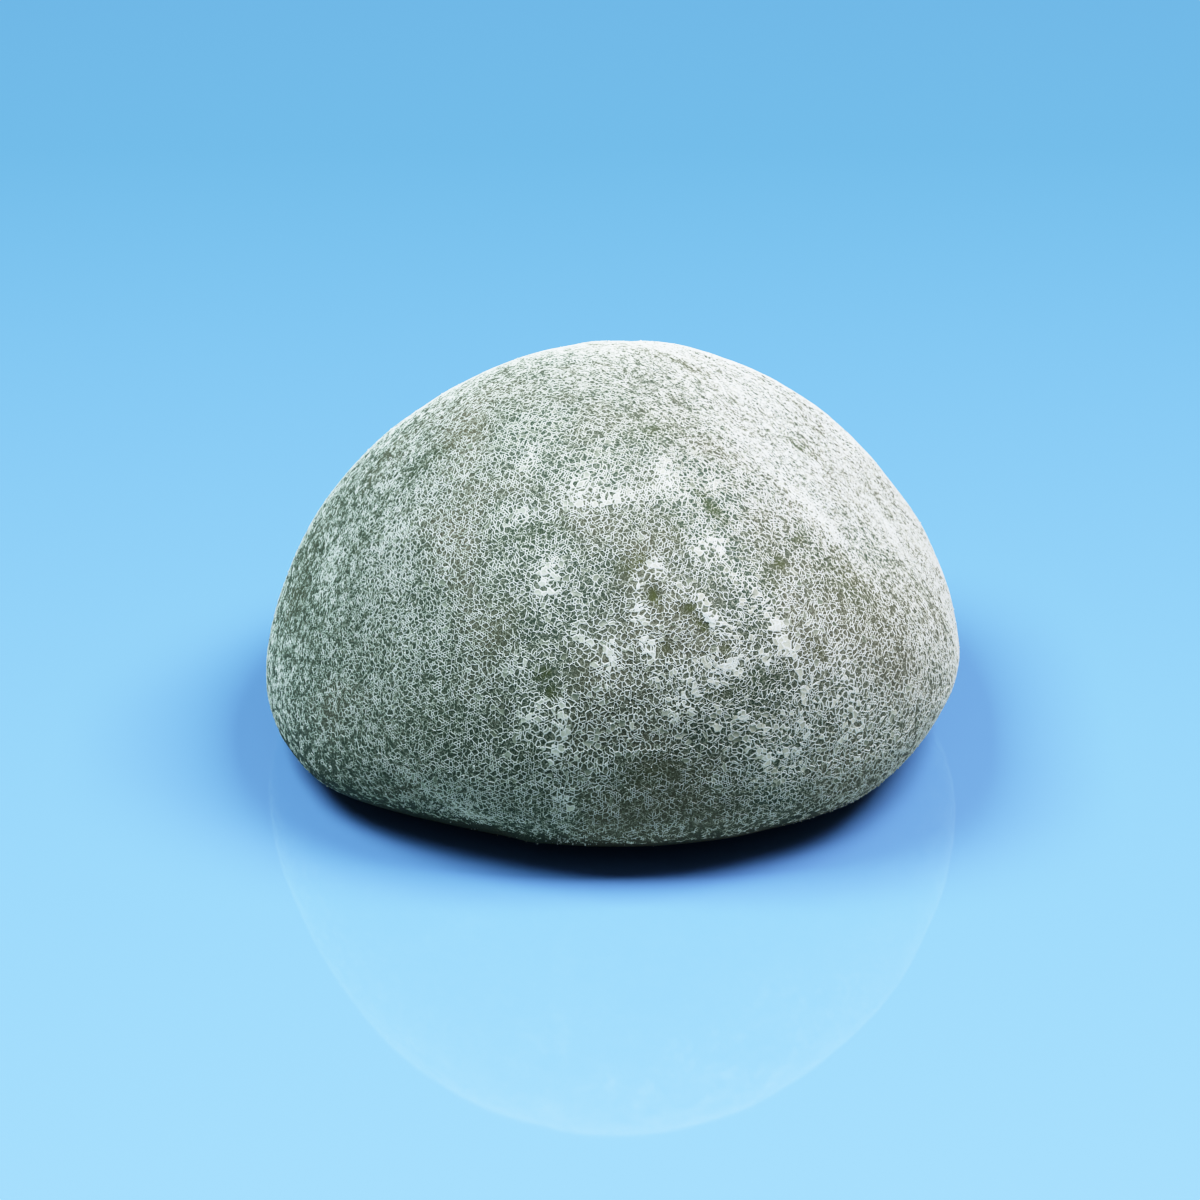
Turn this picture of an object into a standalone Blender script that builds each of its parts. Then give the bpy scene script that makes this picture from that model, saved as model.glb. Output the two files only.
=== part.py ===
"""Mochi rice cake: one soft, uncut cake of pounded rice dough that has settled into a lopsided dome.

Units are metres and +Z is up. The origin is the middle of the cake's box at its base, so the cake
stands on z = 0 on its flat foot. +X is the side with the straight, pressed shoulder, and -Y is the
side that the crown leans towards.
"""

import math
from typing import NamedTuple

import bmesh
import bpy
from mathutils import Vector

# Driving dimensions, before the cake is pressed.
WIDTH = 0.0500
DEPTH = 0.0490
HEIGHT = 0.0295
GIRTH_HEIGHT = 0.0075
FOOT_SHARE = 0.45

# Fullness of the three curves: 2 is an ellipse, more is squarer.
OUTLINE_FULLNESS = 2.22
CROWN_FULLNESS = 1.90
CURL_FULLNESS = 3.0

# How far the dough has slumped off the middle.
CROWN_LEAN_X = -0.0009
CROWN_LEAN_Y = -0.0012
SIDE_RISE = 0.0040

# Mesh density: columns round the cake, and rings on the crown, on the under-curl and on the foot.
COLUMNS = 80
CROWN_RINGS = 22
CURL_RINGS = 11
FOOT_RINGS = 5

NODE_NAME = "mochi"
COLLECTION_NAME = "mochi_rice_cake"

# Green tea dough under a thin coat of starch, linear colour.
DUSTED_DOUGH_COLOUR = (0.34, 0.37, 0.32, 1.0)
DUSTED_DOUGH_ROUGHNESS = 0.85


class Press(NamedTuple):
    """A place where the dough is pressed flat, by a plane that faces outwards."""

    turn: float      # degrees round +Z from +X
    tilt: float      # degrees above the horizontal
    distance: float  # from the base's middle to the plane
    softness: float  # width over which the surface rounds into the flat
    depth: float     # share of the dough beyond the plane that is pushed back


PRESSES = (
    Press(turn=1.0, tilt=47.0, distance=0.0232, softness=0.0050, depth=0.8),
    Press(turn=24.0, tilt=69.0, distance=0.0274, softness=0.0050, depth=0.8),
    Press(turn=129.0, tilt=47.0, distance=0.0257, softness=0.0050, depth=0.8),
    Press(turn=-23.0, tilt=-32.0, distance=0.0179, softness=0.0015, depth=0.8),
    Press(turn=-114.0, tilt=-40.0, distance=0.0154, softness=0.0015, depth=0.8),
)


def signed_power(value: float, power: float) -> float:
    """Raise the size of a value to a power and keep its sign."""
    return math.copysign(abs(value) ** power, value)


def side_profile(ring: float) -> tuple[float, float]:
    """Give the radius share and the height of a ring, counted from the crown's top to the foot's middle."""
    if ring <= CROWN_RINGS:
        angle = math.pi / 2 * (1 - ring / CROWN_RINGS)
        share = signed_power(math.cos(angle), 2 / CROWN_FULLNESS)
        rise = signed_power(math.sin(angle), 2 / CROWN_FULLNESS)
        return share, GIRTH_HEIGHT + (HEIGHT - GIRTH_HEIGHT) * rise
    if ring <= CROWN_RINGS + CURL_RINGS:
        angle = math.pi / 2 * (ring - CROWN_RINGS) / CURL_RINGS
        share = FOOT_SHARE + (1 - FOOT_SHARE) * signed_power(math.cos(angle), 2 / CURL_FULLNESS)
        drop = signed_power(math.sin(angle), 2 / CURL_FULLNESS)
        return share, GIRTH_HEIGHT * (1 - drop)
    inward = (ring - CROWN_RINGS - CURL_RINGS) / FOOT_RINGS
    return FOOT_SHARE * (1 - inward), 0.0


def settle(direction: Vector) -> Vector:
    """Move a point of a unit ball to its place on the settled, unpressed cake."""
    ring_count = CROWN_RINGS + CURL_RINGS + FOOT_RINGS
    polar_angle = math.acos(max(-1.0, min(1.0, direction.z)))
    share, height = side_profile(round(ring_count * polar_angle / math.pi))
    turn = math.atan2(direction.y, direction.x)
    x = share * WIDTH / 2 * signed_power(math.cos(turn), 2 / OUTLINE_FULLNESS)
    y = share * DEPTH / 2 * signed_power(math.sin(turn), 2 / OUTLINE_FULLNESS)
    lift = max(0.0, (height - GIRTH_HEIGHT) / (HEIGHT - GIRTH_HEIGHT))
    x += CROWN_LEAN_X * lift
    y += CROWN_LEAN_Y * lift
    height += SIDE_RISE * x / (WIDTH / 2) * math.sin(math.pi * height / HEIGHT)
    return Vector((x, y, height))


def press_flat(point: Vector, press: Press) -> Vector:
    """Push a point back along a press's normal, with a soft start where the plane meets the dough."""
    turn = math.radians(press.turn)
    tilt = math.radians(press.tilt)
    normal = Vector((math.cos(turn) * math.cos(tilt), math.sin(turn) * math.cos(tilt), math.sin(tilt)))
    beyond = point.dot(normal) - press.distance
    if beyond <= -press.softness:
        return point
    if beyond < press.softness:
        beyond = (beyond + press.softness) ** 2 / (4 * press.softness)
    return point - normal * (beyond * press.depth)


def centre_on_base(mesh: bmesh.types.BMesh) -> None:
    """Bring the middle of the cake's box over the origin, without lifting its foot."""
    xs = [vertex.co.x for vertex in mesh.verts]
    ys = [vertex.co.y for vertex in mesh.verts]
    middle = Vector(((min(xs) + max(xs)) / 2, (min(ys) + max(ys)) / 2, 0.0))
    bmesh.ops.translate(mesh, verts=mesh.verts, vec=-middle)


def build_cake_mesh() -> bpy.types.Mesh:
    """Model the cake's skin as one closed surface."""
    work = bmesh.new()
    bmesh.ops.create_uvsphere(
        work,
        u_segments=COLUMNS,
        v_segments=CROWN_RINGS + CURL_RINGS + FOOT_RINGS,
        radius=1.0,
    )
    for vertex in work.verts:
        vertex.co = settle(vertex.co)
        for press in PRESSES:
            vertex.co = press_flat(vertex.co, press)
    centre_on_base(work)
    bmesh.ops.recalc_face_normals(work, faces=work.faces)
    mesh = bpy.data.meshes.new(NODE_NAME)
    work.to_mesh(mesh)
    work.free()
    mesh.shade_smooth()
    return mesh


def dusted_dough() -> bpy.types.Material:
    """Matt rice dough, tinted with green tea and dulled by its starch."""
    material = bpy.data.materials.new("dusted_rice_dough")
    material.use_nodes = True
    shader = material.node_tree.nodes["Principled BSDF"]
    shader.inputs["Base Color"].default_value = DUSTED_DOUGH_COLOUR
    shader.inputs["Roughness"].default_value = DUSTED_DOUGH_ROUGHNESS
    shader.inputs["Metallic"].default_value = 0.0
    return material


def clear_scene() -> None:
    """Remove every object, so that only the cake is left."""
    for scene_object in list(bpy.data.objects):
        bpy.data.objects.remove(scene_object, do_unlink=True)


def main() -> None:
    """Build the cake and put it in its collection."""
    clear_scene()
    collection = bpy.data.collections.new(COLLECTION_NAME)
    bpy.context.scene.collection.children.link(collection)
    mesh = build_cake_mesh()
    mesh.materials.append(dusted_dough())
    collection.objects.link(bpy.data.objects.new(NODE_NAME, mesh))


main()
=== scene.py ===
"""Looks of the mochi rice cake: green tea dough under a coat of starch that has dried to a fine net.

Units are metres and +Z is up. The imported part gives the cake's size and place. The dough is a dense skin
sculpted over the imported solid, the starch is a net of thin ridges that stands on that skin, and loose
starch lies on both.
"""

import logging
import math
from dataclasses import dataclass
from enum import Enum

import bmesh
import bpy
import numpy as np
from mathutils import Matrix, Vector, noise
from mathutils.bvhtree import BVHTree


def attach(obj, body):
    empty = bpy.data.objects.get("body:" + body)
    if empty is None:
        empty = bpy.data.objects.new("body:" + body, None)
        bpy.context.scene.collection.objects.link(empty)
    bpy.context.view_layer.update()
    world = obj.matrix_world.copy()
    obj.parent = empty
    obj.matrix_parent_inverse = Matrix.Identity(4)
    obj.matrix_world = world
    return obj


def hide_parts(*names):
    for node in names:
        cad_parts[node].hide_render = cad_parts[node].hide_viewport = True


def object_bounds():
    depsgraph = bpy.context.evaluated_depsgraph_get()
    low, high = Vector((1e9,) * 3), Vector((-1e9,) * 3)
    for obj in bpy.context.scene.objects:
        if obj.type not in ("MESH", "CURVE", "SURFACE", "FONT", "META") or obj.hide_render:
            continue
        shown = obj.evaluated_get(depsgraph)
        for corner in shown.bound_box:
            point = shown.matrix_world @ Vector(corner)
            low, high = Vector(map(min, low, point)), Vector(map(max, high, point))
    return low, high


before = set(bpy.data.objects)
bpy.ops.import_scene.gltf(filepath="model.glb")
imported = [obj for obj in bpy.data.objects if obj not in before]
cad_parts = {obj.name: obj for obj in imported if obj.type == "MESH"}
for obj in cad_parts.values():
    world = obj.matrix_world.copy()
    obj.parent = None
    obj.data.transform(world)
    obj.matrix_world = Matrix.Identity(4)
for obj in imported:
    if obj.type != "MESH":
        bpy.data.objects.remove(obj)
CAD_LOW, CAD_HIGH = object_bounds()
CAD_SIZE = CAD_HIGH - CAD_LOW

MM = 0.001
CAKE_NODE = "mochi"
CAKE_BODY = "root"
BAKE_MAP = "OFBake"

# Seed of every random draw, and of the noise that things drift by.
SEED = 20

# The point that every direction on the cake is measured from, low on the cake's axis.
HEART_HEIGHT = 0.175
HEART = Vector((
    (CAD_LOW.x + CAD_HIGH.x) / 2,
    (CAD_LOW.y + CAD_HIGH.y) / 2,
    CAD_LOW.z + HEART_HEIGHT * CAD_SIZE.z,
))
REACH = CAD_SIZE.x / 2

# A dab adds nothing further from its centre than this.
DAB_REACH = 16 * MM

# Half the width of a texture field that is in use, the radius of the hole in a ring's map, and the angle from
# straight up, in radians, within which a band has no hole.
MAP_HALF = 0.49
MAP_HOLE = 0.18
CROWN_CAP = 0.05

# Input and output numbers of a Mix node's colours, whose names its other kinds share.
MIX_SHARE, MIX_FROM, MIX_TO, MIX_RESULT = 0, 6, 7, 2

log = logging.getLogger("mochi")


def to_linear(hex_colour: str) -> tuple[float, float, float, float]:
    """Turn an sRGB colour into the linear colour that a shader takes.

    Args:
        hex_colour: Six hex digits, red first.

    Returns:
        Linear red, green and blue, and an alpha of 1.
    """
    shares = [int(hex_colour[place : place + 2], 16) / 255 for place in (0, 2, 4)]
    linear = [share / 12.92 if share <= 0.04045 else ((share + 0.055) / 1.055) ** 2.4 for share in shares]
    return linear[0], linear[1], linear[2], 1.0


def add_node(
    tree: bpy.types.NodeTree, kind: str, inputs: dict | None = None, **settings: object
) -> bpy.types.Node:
    """Add a shader node with its settings, values and links.

    Args:
        tree: The node tree that the node joins.
        kind: The node's type name.
        inputs: For each input's name or number, a value, or the output socket that feeds it.
        **settings: Properties of the node itself.

    Returns:
        The new node.
    """
    node = tree.nodes.new(kind)
    for name, value in settings.items():
        setattr(node, name, value)
    for name, value in (inputs or {}).items():
        if isinstance(value, bpy.types.NodeSocket):
            tree.links.new(value, node.inputs[name])
        else:
            node.inputs[name].default_value = value
    return node


def start_material(name: str) -> tuple[bpy.types.Material, bpy.types.NodeTree, bpy.types.Node]:
    """Start a material that a finish then fills in.

    Args:
        name: The material's name.

    Returns:
        The material, its node tree and its shader node.
    """
    material = bpy.data.materials.new(name)
    material.use_nodes = True
    return material, material.node_tree, material.node_tree.nodes["Principled BSDF"]


def smooth_step(values: np.ndarray, start: float, end: float) -> np.ndarray:
    """Ease from 0 at start to 1 at end."""
    share = np.clip((values - start) / (end - start), 0.0, 1.0)
    return share * share * (3.0 - 2.0 * share)


def height_share(points: np.ndarray) -> np.ndarray:
    """Tell how high each point is, from 0 on the ground to 1 at the cake's top."""
    return (points[:, 2] - CAD_LOW.z) / CAD_SIZE.z


def heading(turn: float, tilt: float) -> Vector:
    """Give the direction from the heart for degrees round +Z from +X and degrees above the horizontal."""
    round_z, above = math.radians(turn), math.radians(tilt)
    return Vector((math.cos(round_z) * math.cos(above), math.sin(round_z) * math.cos(above), math.sin(above)))


def finish_mesh(work: bmesh.types.BMesh, name: str) -> bpy.types.Mesh:
    """Turn a bmesh into a mesh, and let go of the bmesh.

    Args:
        work: The bmesh, which is used up.
        name: The mesh's name.

    Returns:
        The mesh.
    """
    mesh = bpy.data.meshes.new(name)
    work.to_mesh(mesh)
    work.free()
    return mesh


def places_of(mesh: bpy.types.Mesh) -> np.ndarray:
    """Read a mesh's vertices.

    Args:
        mesh: The mesh.

    Returns:
        One point a row.
    """
    flat = np.empty(len(mesh.vertices) * 3, np.float32)
    mesh.vertices.foreach_get("co", flat)
    return flat.reshape(-1, 3).astype(float)


def set_places(mesh: bpy.types.Mesh, points: np.ndarray) -> None:
    """Move a mesh's vertices to the given rows."""
    mesh.vertices.foreach_set("co", points.astype(np.float32).ravel())
    mesh.update()


def corners_of(mesh: bpy.types.Mesh) -> np.ndarray:
    """Read the vertex that each corner of each face stands on.

    Args:
        mesh: The mesh.

    Returns:
        One vertex number a corner.
    """
    corners = np.empty(len(mesh.loops), np.int32)
    mesh.loops.foreach_get("vertex_index", corners)
    return corners


def set_bake_map(mesh: bpy.types.Mesh, spots: np.ndarray) -> None:
    """Give a mesh its texture map, from one spot a corner."""
    mesh.uv_layers.new(name=BAKE_MAP).data.foreach_set("uv", spots.astype(np.float32).ravel())


def set_amounts(mesh: bpy.types.Mesh, name: str, amounts: np.ndarray) -> None:
    """Store one number a vertex under a name that materials can read."""
    mesh.attributes.new(name, "FLOAT", "POINT").data.foreach_set("value", amounts.astype(np.float32))


def take_amounts(mesh: bpy.types.Mesh, name: str) -> np.ndarray:
    """Read the numbers stored under a name, and remove them from the mesh.

    Args:
        mesh: The mesh.
        name: What they are stored under.

    Returns:
        One number a vertex.
    """
    amounts = np.empty(len(mesh.vertices), np.float32)
    mesh.attributes[name].data.foreach_get("value", amounts)
    mesh.attributes.remove(mesh.attributes[name])
    return amounts


def show(name: str, mesh: bpy.types.Mesh, material: bpy.types.Material) -> bpy.types.Object:
    """Put a finished mesh in the scene, at the origin.

    Args:
        name: The object's name.
        mesh: Its mesh.
        material: The one material that covers it.

    Returns:
        The object.
    """
    mesh.materials.clear()
    mesh.materials.append(material)
    mesh.shade_smooth()
    piece = bpy.data.objects.new(name, mesh)
    bpy.context.scene.collection.objects.link(piece)
    return piece


@dataclass(frozen=True)
class Grain:
    """An unevenness of one size, which is always the same for the same seed."""

    size: float       # from one swelling to the next, about
    seed: float       # picks one pattern of many
    octaves: int = 2  # how many finer layers it has

    def swell(self, points: np.ndarray) -> np.ndarray:
        """Read the unevenness.

        Args:
            points: Points in metres, one a row.

        Returns:
            One value a point, from about -1 to 1.
        """
        places = (points / self.size + self.seed).tolist()
        return np.array([noise.fractal(Vector(place), 0.9, 2.1, self.octaves) for place in places])

    def drift(self, points: np.ndarray) -> np.ndarray:
        """Read the unevenness as a drift.

        Args:
            points: Points in metres, one a row.

        Returns:
            One vector a row, with parts from about -1 to 1.
        """
        places = (points / self.size + self.seed).tolist()
        return np.array([noise.noise_vector(Vector(place)) for place in places])


class Skin:
    """A closed surface round the heart, on which things are laid by their direction."""

    def __init__(self, mesh: bpy.types.Mesh) -> None:
        """Read the surface once, so that it can be asked many times.

        Args:
            mesh: The surface.
        """
        work = bmesh.new()
        work.from_mesh(mesh)
        self.tree = BVHTree.FromBMesh(work)
        work.free()

    def land(self, directions: np.ndarray) -> tuple[np.ndarray, np.ndarray]:
        """Find where rays from the heart meet the surface.

        Args:
            directions: Unit vectors, one a row.

        Returns:
            The points met and the surface's normals there, one a row.
        """
        hits = [self.tree.ray_cast(HEART, Vector(row)) for row in directions.tolist()]
        return np.array([hit[0] for hit in hits]), np.array([hit[1] for hit in hits])


@dataclass(frozen=True)
class Dab:
    """A place where more of something lies on the cake, or less, with an amount below zero."""

    turn: float       # degrees round +Z from +X
    tilt: float       # degrees above the horizontal, seen from the heart
    half_long: float  # millimetres
    half_wide: float  # millimetres
    lean: float       # degrees from straight up the slope, positive towards a larger turn
    amount: float     # what is added at its centre


# Where the starch lies thicker. Amounts are shares of full cover.
CAKED = (
    # Broad gains over the front, partly painted light: the extra white starch also lifts the low front where
    # a front lamp would.
    Dab(-62, 14, 3.8, 7.5, 0, 0.27),
    Dab(-74, 24, 1.8, 3.4, 0, 0.22),
    Dab(-66, 33, 3.0, 3.4, 0, 0.21),
    Dab(-95, 8, 2.6, 3.6, 0, 0.22),
    Dab(-85, 20, 3.0, 2.6, 0, 0.16),
    Dab(-122, 4, 1.6, 7.0, 0, 0.15),
    Dab(-112, 30, 9.0, 7.0, 0, 0.04),
    Dab(-137, 53, 3.2, 1.8, 20, 0.16),
    Dab(-95, 62, 2.4, 1.6, 0, 0.14),
    Dab(-60, 62, 0.9, 0.9, 0, 0.20),
    Dab(-66, 12, 2.6, 2.6, 0, 0.08),
    Dab(-77, 20, 1.1, 2.6, 0, 0.12),
    Dab(-79, 36, 2.2, 1.5, 0, 0.18),
    Dab(-55, 24, 3.4, 3.0, 0, 0.11),
    Dab(-46, 11, 3.6, 3.4, 0, 0.09),
    Dab(-105, 24, 0.8, 1.8, 0, 0.12),
    Dab(-98, 51, 0.8, 2.2, 0, 0.14),
    Dab(-118, 66, 1.8, 2.6, 0, 0.10),
    Dab(-122, 21, 1.6, 3.0, 0, 0.09),
    Dab(-137, 33, 3.2, 3.6, 0, 0.09),
    Dab(-141, 42, 1.0, 2.4, 0, 0.09),
    Dab(-107, 25, 0.9, 2.4, 0, 0.17),
    Dab(-95.5, 32, 2.4, 1.5, 0, 0.22),
    Dab(-95, 57, 1.8, 1.0, 0, 0.12),
    # Caked patches on the crown and the shoulder.
    Dab(28, 63, 1.4, 1.5, 0, 0.30),
    Dab(-22, 64, 2.0, 0.9, -10, 0.22),
    Dab(30, 32, 2.6, 1.0, 30, 0.12),
    Dab(-1, 49, 1.4, 0.9, 0, 0.30),
    Dab(-32, 42, 4.2, 1.1, 0, 0.42),
    Dab(0, 29, 1.9, 0.5, 60, 0.45),
    # Streaks and smears down the front.
    Dab(-75, 57, 1.2, 0.9, 10, 0.30),
    Dab(-74, 53, 1.7, 1.5, 45, 0.20),
    Dab(-61, 54, 1.1, 0.7, 70, 0.22),
    Dab(-99, 54, 2.2, 1.3, 90, 0.24),
    Dab(-87, 53, 1.6, 1.0, 90, 0.26),
    Dab(-116, 58, 1.2, 0.6, 0, 0.25),
    Dab(-82, 41, 1.1, 0.50, -10, 0.45),
    Dab(-72, 42.5, 1.4, 0.8, 0, 0.34),
    Dab(-83.5, 28.5, 1.7, 0.6, -20, 0.34),
    Dab(-85.5, 37.5, 1.4, 0.50, 0, 0.48),
    Dab(-85, 34, 0.9, 0.6, 0, 0.30),
    Dab(-73, 32.5, 2.0, 0.38, -32, 0.60),
    Dab(-59, 33, 0.9, 0.5, 0, 0.20),
    Dab(-68, 43, 1.5, 0.5, -8, 0.42),
    Dab(-112, 48, 1.4, 0.8, 80, 0.22),
    Dab(-90, 28, 1.8, 0.8, 10, 0.30),
    Dab(-92, 25, 1.1, 0.9, 0, 0.12),
    Dab(-103.5, 38.5, 1.7, 0.8, 0, 0.38),
    Dab(-99, 20, 1.0, 0.7, 0, 0.30),
    Dab(-98.5, 16, 1.6, 0.7, 20, 0.16),
    Dab(-100, 12, 1.8, 0.7, 20, 0.34),
    Dab(-103.5, 18, 2.2, 1.0, 0, 0.26),
    Dab(-98, 3, 1.1, 0.9, 0, 0.30),
    Dab(-143, 39, 1.8, 1.2, 10, 0.14),
    Dab(-125, 37, 0.8, 0.4, 0, 0.35),
    Dab(-157, 28, 2.4, 1.4, 0, 0.20),
    Dab(-117, 0, 3.2, 0.5, -65, 0.35),
    Dab(-61.5, 28, 2.6, 0.36, -14, 0.36),
    Dab(-72, 23, 1.4, 0.6, 60, 0.12),
    # A few smears on the back.
    Dab(62, 40, 3.4, 1.6, 20, 0.28),
    Dab(95, 52, 2.6, 1.2, 70, 0.28),
    Dab(128, 30, 3.0, 1.0, -25, 0.34),
    Dab(160, 48, 2.2, 1.0, 35, 0.28),
    Dab(100, 18, 1.6, 0.8, 0, 0.35),
    Dab(50, 12, 2.2, 0.7, 50, 0.30),
)

# Where a fingertip or the tray has lifted the starch off the dough.
RUBBED = (
    # Fingertip marks and short scrapes on the front.
    Dab(-84, 42, 0.60, 0.50, 0, -0.60),
    Dab(-82, 36, 0.80, 0.30, -14, -0.85),
    Dab(-87, 41, 0.9, 0.7, 0, -0.30),
    Dab(-81, 28.5, 0.45, 0.32, -20, -0.45),
    Dab(-76, 34, 0.55, 0.32, 50, -0.75),
    Dab(-74.3, 31, 0.65, 0.36, -25, -0.80),
    Dab(-102, 24, 0.60, 0.50, 0, -0.70),
    Dab(-100, 21, 0.50, 0.40, 0, -0.60),
    Dab(-147, 54, 4.2, 0.8, 22, -0.18),
    Dab(-71, 21, 2.4, 0.6, 80, -0.16),
    Dab(-84, 9, 2.4, 1.2, 80, -0.20),
    Dab(-56, 38, 0.45, 0.45, 0, -0.60),
    Dab(-47, 41, 1.0, 0.35, 90, -0.45),
    Dab(-66, 50, 1.6, 0.35, -25, -0.50),
    Dab(-108, 46, 2.2, 0.8, 70, -0.16),
    Dab(-71, 27, 0.55, 0.30, 0, -0.50),
    Dab(50, 72, 2.2, 0.4, 70, -0.30),
    Dab(-74, 67, 1.4, 0.3, 60, -0.25),
    Dab(-103, 10.5, 1.2, 0.9, 0, -0.14),
    Dab(-66, 21.5, 2.2, 0.7, 80, -0.15),
    # Worn places.
    Dab(-40, 31, 2.8, 3.0, 0, -0.24),
    Dab(-75, 47, 1.6, 1.6, 0, -0.14),
    Dab(-73, 68, 1.8, 2.4, 0, -0.10),
    Dab(5, 51, 2.0, 1.6, 0, -0.34),
    Dab(-176, 22, 6.5, 4.0, 0, -0.20),
    Dab(-155, 18, 4.0, 4.0, 0, -0.09),
    Dab(-184, 14, 7.0, 4.0, 0, -0.08),
    Dab(-26, 26, 3.2, 2.6, 0, -0.12),
    Dab(-96, 24, 1.6, 0.9, 0, -0.10),
    Dab(-59.5, 36.5, 1.8, 0.9, 20, -0.18),
    Dab(-110.5, 30, 2.6, 1.3, 0, -0.13),
    Dab(-120, 15, 2.6, 2.2, 0, -0.08),
    Dab(-88, 4, 2.4, 5.0, 0, -0.09),
    Dab(-66, 16, 1.8, 1.5, 0, -0.10),
    Dab(-168, 47, 4.2, 1.8, 0, -0.14),
    Dab(-151, 36, 2.6, 1.6, 0, -0.10),
    Dab(-14, 19, 4.0, 2.2, 0, -0.15),
    Dab(-167, 14, 5.0, 2.6, 0, -0.13),
    Dab(-55, 24, 0.8, 0.5, 0, -0.40),
    # Scrapes on the back.
    Dab(75, 28, 0.9, 0.5, 10, -0.60),
    Dab(118, 44, 1.2, 0.5, -40, -0.60),
    Dab(150, 20, 2.0, 0.6, 60, -0.35),
)

# Where the dough itself was handled. Amounts are millimetres out from the cake.
HANDLED = (
    # The fold over the shoulder.
    Dab(60, 56, 2.4, 0.45, 44, -0.13),
    Dab(46, 45, 2.6, 0.45, 44, -0.15),
    Dab(32, 35, 2.4, 0.45, 50, -0.12),
    # A nick low on the edge.
    Dab(-105, -8, 0.8, 1.4, 0, 0.24),
    Dab(-110, -6, 0.7, 0.8, 0, -0.18),
    # Caked places stand proud.
    Dab(-32, 42, 4.0, 1.1, 0, 0.09),
    Dab(-1, 49, 1.4, 0.9, 0, 0.05),
    Dab(-73, 32.5, 1.9, 0.36, -32, 0.07),
    Dab(-99, 54, 2.2, 1.3, 90, 0.05),
    Dab(-90, 28, 1.8, 0.8, 10, 0.05),
    Dab(-103.5, 18, 2.2, 1.0, 0, 0.05),
    # Rubbed places are pressed in.
    Dab(-82, 36, 0.8, 0.34, -14, -0.07),
    Dab(-74.3, 31, 0.7, 0.40, -25, -0.07),
    Dab(-81, 28.5, 0.5, 0.36, -20, -0.05),
    Dab(-84, 42, 0.6, 0.5, 0, -0.05),
    Dab(-56, 38, 0.5, 0.5, 0, -0.05),
    Dab(-66, 50, 1.6, 0.3, -25, -0.07),
    Dab(75, 28, 0.9, 0.5, 10, -0.06),
)


class Layer:
    """Dabs laid on a skin, whose amounts add up where they overlap."""

    def __init__(self, skin: Skin, dabs: tuple[Dab, ...]) -> None:
        """Place every dab on the skin."""
        self.laid = [self.place(skin, dab) for dab in dabs]

    def place(self, skin: Skin, dab: Dab) -> tuple[np.ndarray, np.ndarray, np.ndarray, float]:
        """Place one dab.

        Args:
            skin: The surface that it lies on.
            dab: Its place, size and amount.

        Returns:
            Its centre, its long and its wide axis, each divided by its half size, and its amount.
        """
        way = heading(dab.turn, dab.tilt)
        centre = skin.land(np.array([way]))[0][0]
        east = Vector((0, 0, 1)).cross(way).normalized()
        uphill = way.cross(east)
        lean = math.radians(dab.lean)
        along = uphill * math.cos(lean) + east * math.sin(lean)
        across = along.cross(way)
        long_axis = np.array(along) / (dab.half_long * MM)
        wide_axis = np.array(across) / (dab.half_wide * MM)
        return centre, long_axis, wide_axis, dab.amount

    def sum_at(self, points: np.ndarray) -> np.ndarray:
        """Add up what the dabs put on or take off.

        Args:
            points: Points on the cake, one a row.

        Returns:
            One sum a point.
        """
        total = np.zeros(len(points))
        for centre, along, across, amount in self.laid:
            offset = points - centre
            near = np.einsum("ij,ij->i", offset, offset) < DAB_REACH**2
            far = (offset[near] @ along) ** 2 + (offset[near] @ across) ** 2
            total[near] += amount * np.exp(-far)
        return total


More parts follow.
